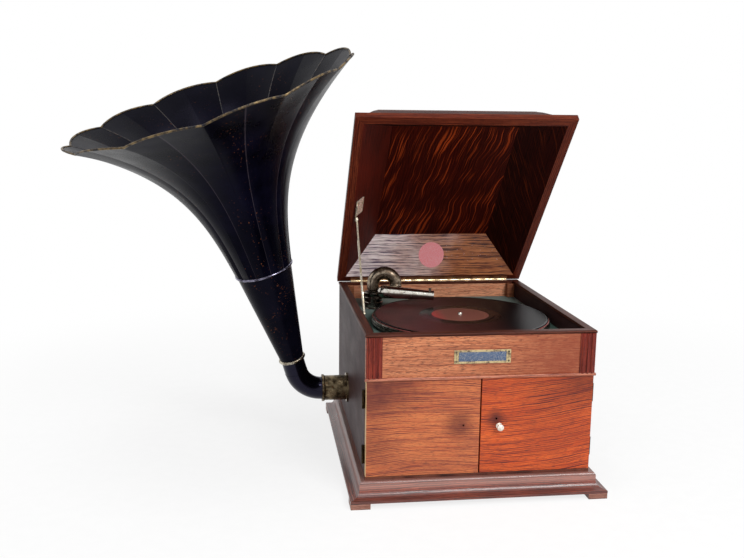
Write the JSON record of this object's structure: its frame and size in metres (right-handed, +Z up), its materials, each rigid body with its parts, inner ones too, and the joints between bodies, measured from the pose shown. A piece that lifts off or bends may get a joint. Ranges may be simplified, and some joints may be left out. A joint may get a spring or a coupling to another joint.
{
  "type": "table gramophone",
  "caption": "Square-cased gramophone with a hood lid on a stay, turntable with record, bent tone arm, spring motor, and a petal horn rising from the left side.",
  "frame": {"origin": "on the floor, under the middle of the square case", "axes": "+X to the right of someone facing the doors, -Y out of the front, +Z up"},
  "size_m": [0.8541, 0.5097, 0.7124],
  "materials": {
    "dark_oak": "worn stained satin",
    "orange_oak": "worn stained satin",
    "lid_oak": "worn stained satin",
    "panel_oak": "dark stained satin",
    "board_wood": "plain",
    "baize": "green cloth",
    "red_felt": "red cloth",
    "brass": "aged",
    "old_brass": "tarnished",
    "nickel": "worn nickel plate",
    "worn_nickel": "nickel worn through to brass",
    "steel": "plain steel",
    "spring_steel": "blued steel",
    "black_tin": "gloss black enamel",
    "cast_base": "black enamel",
    "duct_metal": "plain grey",
    "shellac": "grooved shellac",
    "label_paper": "plain maroon",
    "sticker": "plain red, worn"
  },
  "bodies": {
    "cabinet": {"plinth_moulding": "dark_oak", "corner_feet": "dark_oak", "bottom_board": "orange_oak", "side_left": "dark_oak", "side_right": "dark_oak", "back_panel": "dark_oak", "rear_posts": "dark_oak", "board_cleats": "board_wood", "front_rail": "orange_oak", "pilasters": "dark_oak", "rail_strip": "orange_oak", "rim_moulding": "dark_oak", "motor_board": "board_wood", "baize_cover": "baize", "nameplate": "brass", "nameplate_screws": "steel", "door_side_leaves": "brass", "box_hinge_leaf": "brass", "box_hinge_screws": "steel", "stay_track": "brass", "tonearm_base": "nickel", "tonearm_cap": "cast_base", "sound_duct": "duct_metal", "horn_collar": "old_brass", "collar_nut": "old_brass", "motor_frame": "steel", "motor_bolts": "steel"},
    "left_door": {"door_left": "orange_oak", "door_left_leaves": "brass"},
    "right_door": {"door_right": "orange_oak", "door_knob": "old_brass", "door_right_leaves": "brass"},
    "lid": {"lid_walls": "lid_oak", "lid_top_board": "orange_oak", "lid_ceiling": "panel_oak", "lid_sticker": "sticker", "lid_hinge_leaf": "brass", "lid_hinge_screws": "steel", "stay_bracket": "steel"},
    "stay": {"stay_rod": "steel"},
    "turntable": {"platter": "nickel", "platter_felt": "red_felt", "record": "shellac", "record_label": "label_paper", "turntable_spindle": "nickel"},
    "arm_neck": {"tonearm_neck": "worn_nickel"},
    "arm": {"arm_tube": "nickel", "arm_screw": "steel"},
    "horn": {"horn_elbow": "black_tin", "horn_cone": "black_tin", "horn_bell": "black_tin"},
    "spring_barrel": {"barrel": "brass", "mainspring": "spring_steel"},
    "winding_arbor": {"winding_arbor": "steel"},
    "winding_shaft": {"winding_shaft": "steel"},
    "ratchet_pawl": {"pawl": "steel"},
    "middle_arbor": {"mid_arbor": "brass"},
    "governor": {"governor": "brass"},
    "speed_lever": {"speed_lever": "steel"},
    "brake_lever": {"brake_lever": "old_brass"}
  },
  "joints": [
    {"name": "left_door_swing", "type": "hinge", "parent": "cabinet", "child": "left_door", "pos_m": [-0.18445, -0.2061, 0.12], "axis": [0, 0, -1], "range_deg": [0, 105]},
    {"name": "right_door_swing", "type": "hinge", "parent": "cabinet", "child": "right_door", "pos_m": [0.18445, -0.2061, 0.12], "axis": [0, 0, 1], "range_deg": [0, 105]},
    {"name": "lid_swing", "type": "hinge", "parent": "cabinet", "child": "lid", "pos_m": [0, 0.217, 0.27225], "axis": [1, 0, 0], "range_deg": [0, 47.3]},
    {"name": "stay_fold", "type": "hinge", "parent": "lid", "child": "stay", "pos_m": [-0.16275, 0.0911, 0.41053], "axis": [1, 0, 0], "range_deg": [-94.2, 0]},
    {"name": "platter_spin", "type": "hinge", "parent": "cabinet", "child": "turntable", "pos_m": [0.0075, -0.027, 0.24], "axis": [0, 0, 1], "continuous": true},
    {"name": "arm_swing", "type": "hinge", "parent": "cabinet", "child": "arm_neck", "pos_m": [-0.127, 0.12, 0.265], "axis": [0, 0, 1], "range_deg": [-19, 35]},
    {"name": "arm_lift", "type": "hinge", "parent": "arm_neck", "child": "arm", "pos_m": [-0.09019, 0.0869, 0.2745], "axis": [-0.1736, -0.9848, 0], "range_deg": [0, 30]},
    {"name": "horn_turn", "type": "hinge", "parent": "cabinet", "child": "horn", "pos_m": [-0.2, 0.053, 0.1051], "axis": [1, 0, 0], "range_deg": [-15, 15]},
    {"name": "barrel_spin", "type": "hinge", "parent": "cabinet", "child": "spring_barrel", "pos_m": [-0.06091, -0.02915, 0.19], "axis": [0, 0, 1], "continuous": true},
    {"name": "middle_spin", "type": "hinge", "parent": "cabinet", "child": "middle_arbor", "pos_m": [-0.01881, -0.03658, 0.208], "axis": [0, 0, 1], "continuous": true},
    {"name": "governor_spin", "type": "hinge", "parent": "cabinet", "child": "governor", "pos_m": [0.0339, -0.027, 0.175], "axis": [0, 1, 0], "continuous": true},
    {"name": "winding_spin", "type": "hinge", "parent": "cabinet", "child": "winding_shaft", "pos_m": [0.06, -0.02915, 0.145], "axis": [1, 0, 0], "continuous": true},
    {"name": "arbor_spin", "type": "hinge", "parent": "cabinet", "child": "winding_arbor", "pos_m": [-0.06091, -0.02915, 0.158], "axis": [0, 0, 1], "continuous": true},
    {"name": "pawl_lift", "type": "hinge", "parent": "cabinet", "child": "ratchet_pawl", "pos_m": [-0.04891, -0.00835, 0.157], "axis": [0, 0, 1], "range_deg": [0, 20]},
    {"name": "speed_swing", "type": "hinge", "parent": "cabinet", "child": "speed_lever", "pos_m": [0.045, -0.07, 0.213], "axis": [0, 0, 1], "range_deg": [-5, 8]},
    {"name": "brake_swing", "type": "hinge", "parent": "cabinet", "child": "brake_lever", "pos_m": [0.13219, -0.13515, 0.245], "axis": [0, 0, 1], "range_deg": [-1, 12]}
  ],
  "couplings": [
    {"joint": "stay_fold", "follows": "lid_swing", "ratio": -1.9872},
    {"joint": "middle_spin", "follows": "platter_spin", "ratio": -0.16667},
    {"joint": "barrel_spin", "follows": "platter_spin", "ratio": 0.020833},
    {"joint": "governor_spin", "follows": "platter_spin", "ratio": -15},
    {"joint": "arbor_spin", "follows": "winding_spin", "ratio": -0.5}
  ]
}
